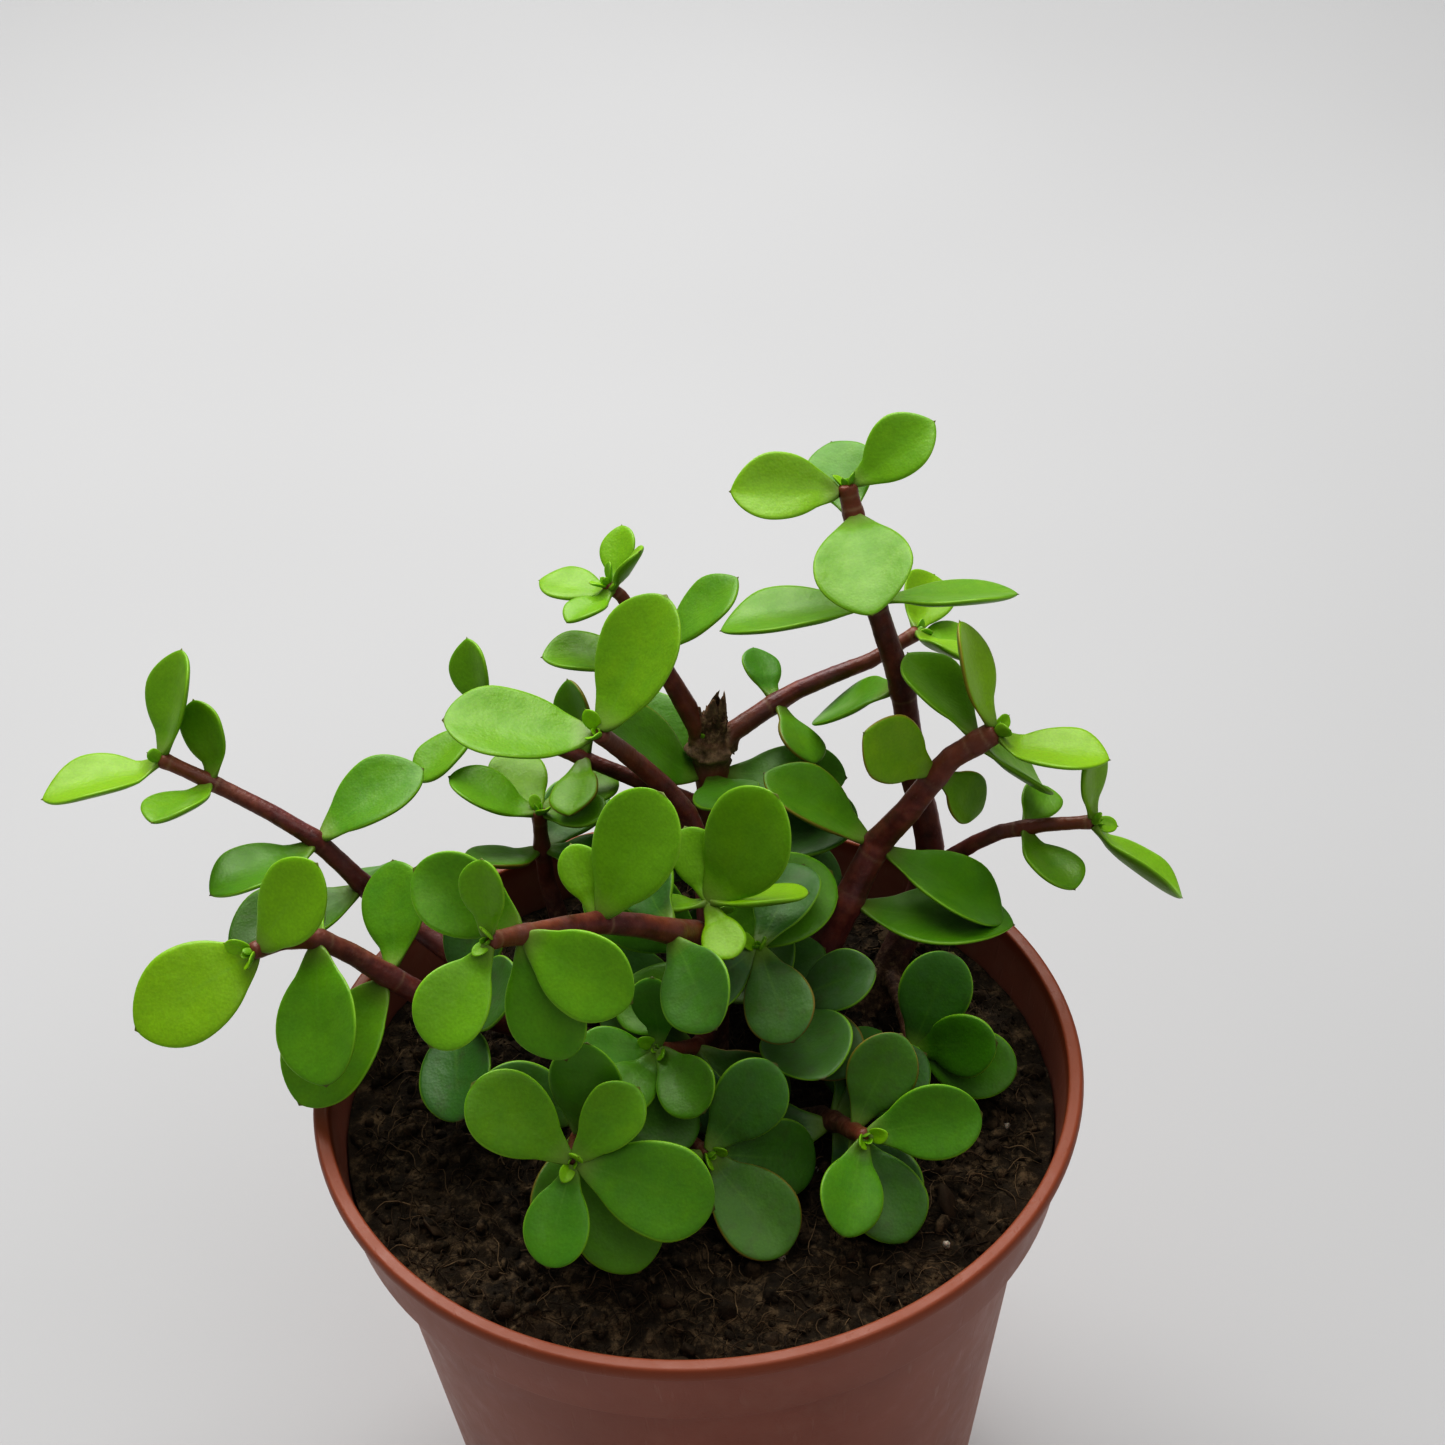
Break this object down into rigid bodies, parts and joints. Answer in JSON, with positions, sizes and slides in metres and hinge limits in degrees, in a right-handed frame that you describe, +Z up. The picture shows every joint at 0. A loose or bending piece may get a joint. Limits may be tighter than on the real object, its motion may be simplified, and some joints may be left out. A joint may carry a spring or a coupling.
{
  "type": "potted elephant bush",
  "caption": "Young elephant bush succulent with round fleshy leaves on thin reddish stems, rooted in a tapered plastic nursery pot with a collared rim.",
  "frame": {"origin": "middle of the pot's underside, on the surface it stands on", "axes": "+Z up along the pot's axis; -Y towards the side that the picture is taken from; +X to that viewer's right"},
  "size_m": [0.1549, 0.1136, 0.1662],
  "materials": {
    "pot_plastic": "terracotta-coloured moulded plastic, satin with fine scuffs",
    "potting_mix": "damp dark peat with fibres and a few white perlite grains; stone stands in for soil",
    "stem_bark": "smooth maroon-brown bark, woodier near the mix, with pale leaf scars",
    "leaf": "fleshy mid-green leaf with a thin waxy bloom, satin; leather stands in for leaf skin",
    "tip_leaf": "young yellow-green fleshy leaf, satin; leather stands in for leaf skin"
  },
  "bodies": {
    "root": {"arching_leaves_1": "tip_leaf", "back_leaves_1": "tip_leaf", "back_leaves_2": "leaf", "back_leaves_3": "leaf", "back_left_leaves_1": "tip_leaf", "back_left_leaves_2": "leaf", "back_right_leaves_1": "tip_leaf", "back_right_leaves_2": "leaf", "cutting_back": "stem_bark", "cutting_left": "stem_bark", "cutting_low_left": "stem_bark", "cutting_low_right": "stem_bark", "cutting_middle": "stem_bark", "cutting_right": "stem_bark", "cutting_tall": "stem_bark", "cutting_upright": "stem_bark", "far_left_leaves_1": "tip_leaf", "far_left_leaves_2": "leaf", "far_left_leaves_3": "leaf", "far_left_leaves_4": "leaf", "heart_leaves_1": "tip_leaf", "heart_leaves_2": "leaf", "inner_right_leaves_1": "tip_leaf", "inner_right_leaves_2": "leaf", "low_front_leaves_1": "tip_leaf", "low_left_leaves_1": "tip_leaf", "low_left_leaves_2": "leaf", "low_left_leaves_3": "leaf", "low_right_leaves_1": "tip_leaf", "low_right_leaves_2": "leaf", "low_right_leaves_3": "leaf", "low_side_leaves_1": "tip_leaf", "near_left_leaves_1": "tip_leaf", "near_left_leaves_2": "leaf", "near_left_leaves_3": "leaf", "near_left_leaves_4": "leaf", "pot": "pot_plastic", "reaching_leaves_1": "tip_leaf", "reaching_leaves_2": "leaf", "reaching_leaves_3": "leaf", "reaching_leaves_4": "leaf", "reaching_leaves_5": "leaf", "reaching_leaves_6": "leaf", "rear_left_leaves_1": "tip_leaf", "rear_left_leaves_2": "leaf", "right_leaves_1": "tip_leaf", "right_leaves_2": "leaf", "right_leaves_3": "leaf", "right_leaves_4": "leaf", "right_leaves_5": "leaf", "side_leaves_1": "tip_leaf", "side_leaves_2": "leaf", "soil": "potting_mix", "sprout_leaves_1": "tip_leaf", "tall_leaves_1": "tip_leaf", "tall_leaves_2": "leaf", "tall_leaves_3": "leaf", "tall_leaves_4": "leaf", "upright_leaves_1": "tip_leaf", "upright_leaves_2": "leaf"}
  },
  "joints": []
}
